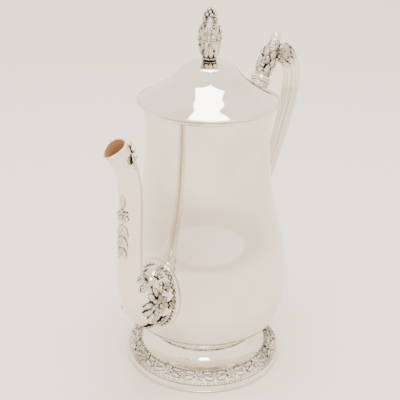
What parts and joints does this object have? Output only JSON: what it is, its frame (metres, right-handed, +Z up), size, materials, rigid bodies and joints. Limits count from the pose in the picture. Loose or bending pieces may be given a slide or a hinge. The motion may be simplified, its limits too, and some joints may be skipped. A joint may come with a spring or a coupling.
{
  "type": "lidded coffee pot",
  "caption": "Tall silver-plated coffee pot with a hinged domed lid, bud finial, swan-neck spout, scrolled hollow handle and a spreading foot with a cast border.",
  "frame": {"origin": "centre of the foot on the table, on the axis of the body", "axes": "+Z up through the finial, +X towards the handle, -X towards the spout, +Y along the hinge pin"},
  "size_m": [0.2648, 0.1382, 0.3012],
  "materials": {
    "silver_plate": "polished silver plate, lightly tarnished in the hollows",
    "nickel_silver": "turned nickel silver, satin",
    "insulator": "off-white heat-break disc, satin"
  },
  "bodies": {
    "pot": {"body_shell": "silver_plate", "foot_base_ring": "silver_plate", "foot_border": "silver_plate", "foot_joint_wire": "silver_plate", "foot_pedestal": "silver_plate", "handle_crown": "silver_plate", "handle_grip_left": "silver_plate", "handle_grip_right": "silver_plate", "handle_knob": "silver_plate", "handle_leaf_band": "silver_plate", "handle_lower_insulator": "insulator", "handle_lower_ring": "silver_plate", "handle_lower_rivet": "nickel_silver", "handle_lower_socket": "silver_plate", "handle_socket_rivet": "nickel_silver", "handle_upper_insulator": "insulator", "handle_upper_ring": "silver_plate", "handle_upper_rivet": "nickel_silver", "handle_upper_socket": "silver_plate", "hinge_pin": "nickel_silver", "hinge_pot_leaf": "silver_plate", "mouth_bead": "silver_plate", "spout_flange": "silver_plate", "spout_front_flower": "silver_plate", "spout_left_half": "silver_plate", "spout_right_half": "silver_plate", "spout_spray_left": "silver_plate", "spout_spray_right": "silver_plate", "spout_tip_beads": "silver_plate"},
    "lid": {"finial_bud": "silver_plate", "finial_collar": "silver_plate", "finial_nut": "nickel_silver", "finial_stud": "nickel_silver", "finial_washer": "nickel_silver", "hinge_lid_leaf": "silver_plate", "lid_bezel": "silver_plate", "lid_dome": "silver_plate", "lid_rim_wire": "silver_plate"}
  },
  "joints": [
    {"name": "lid_hinge", "type": "hinge", "parent": "pot", "child": "lid", "pos_m": [0.0599, 0, 0.2286], "axis": [0, 1, 0], "range_deg": [0, 100]}
  ]
}
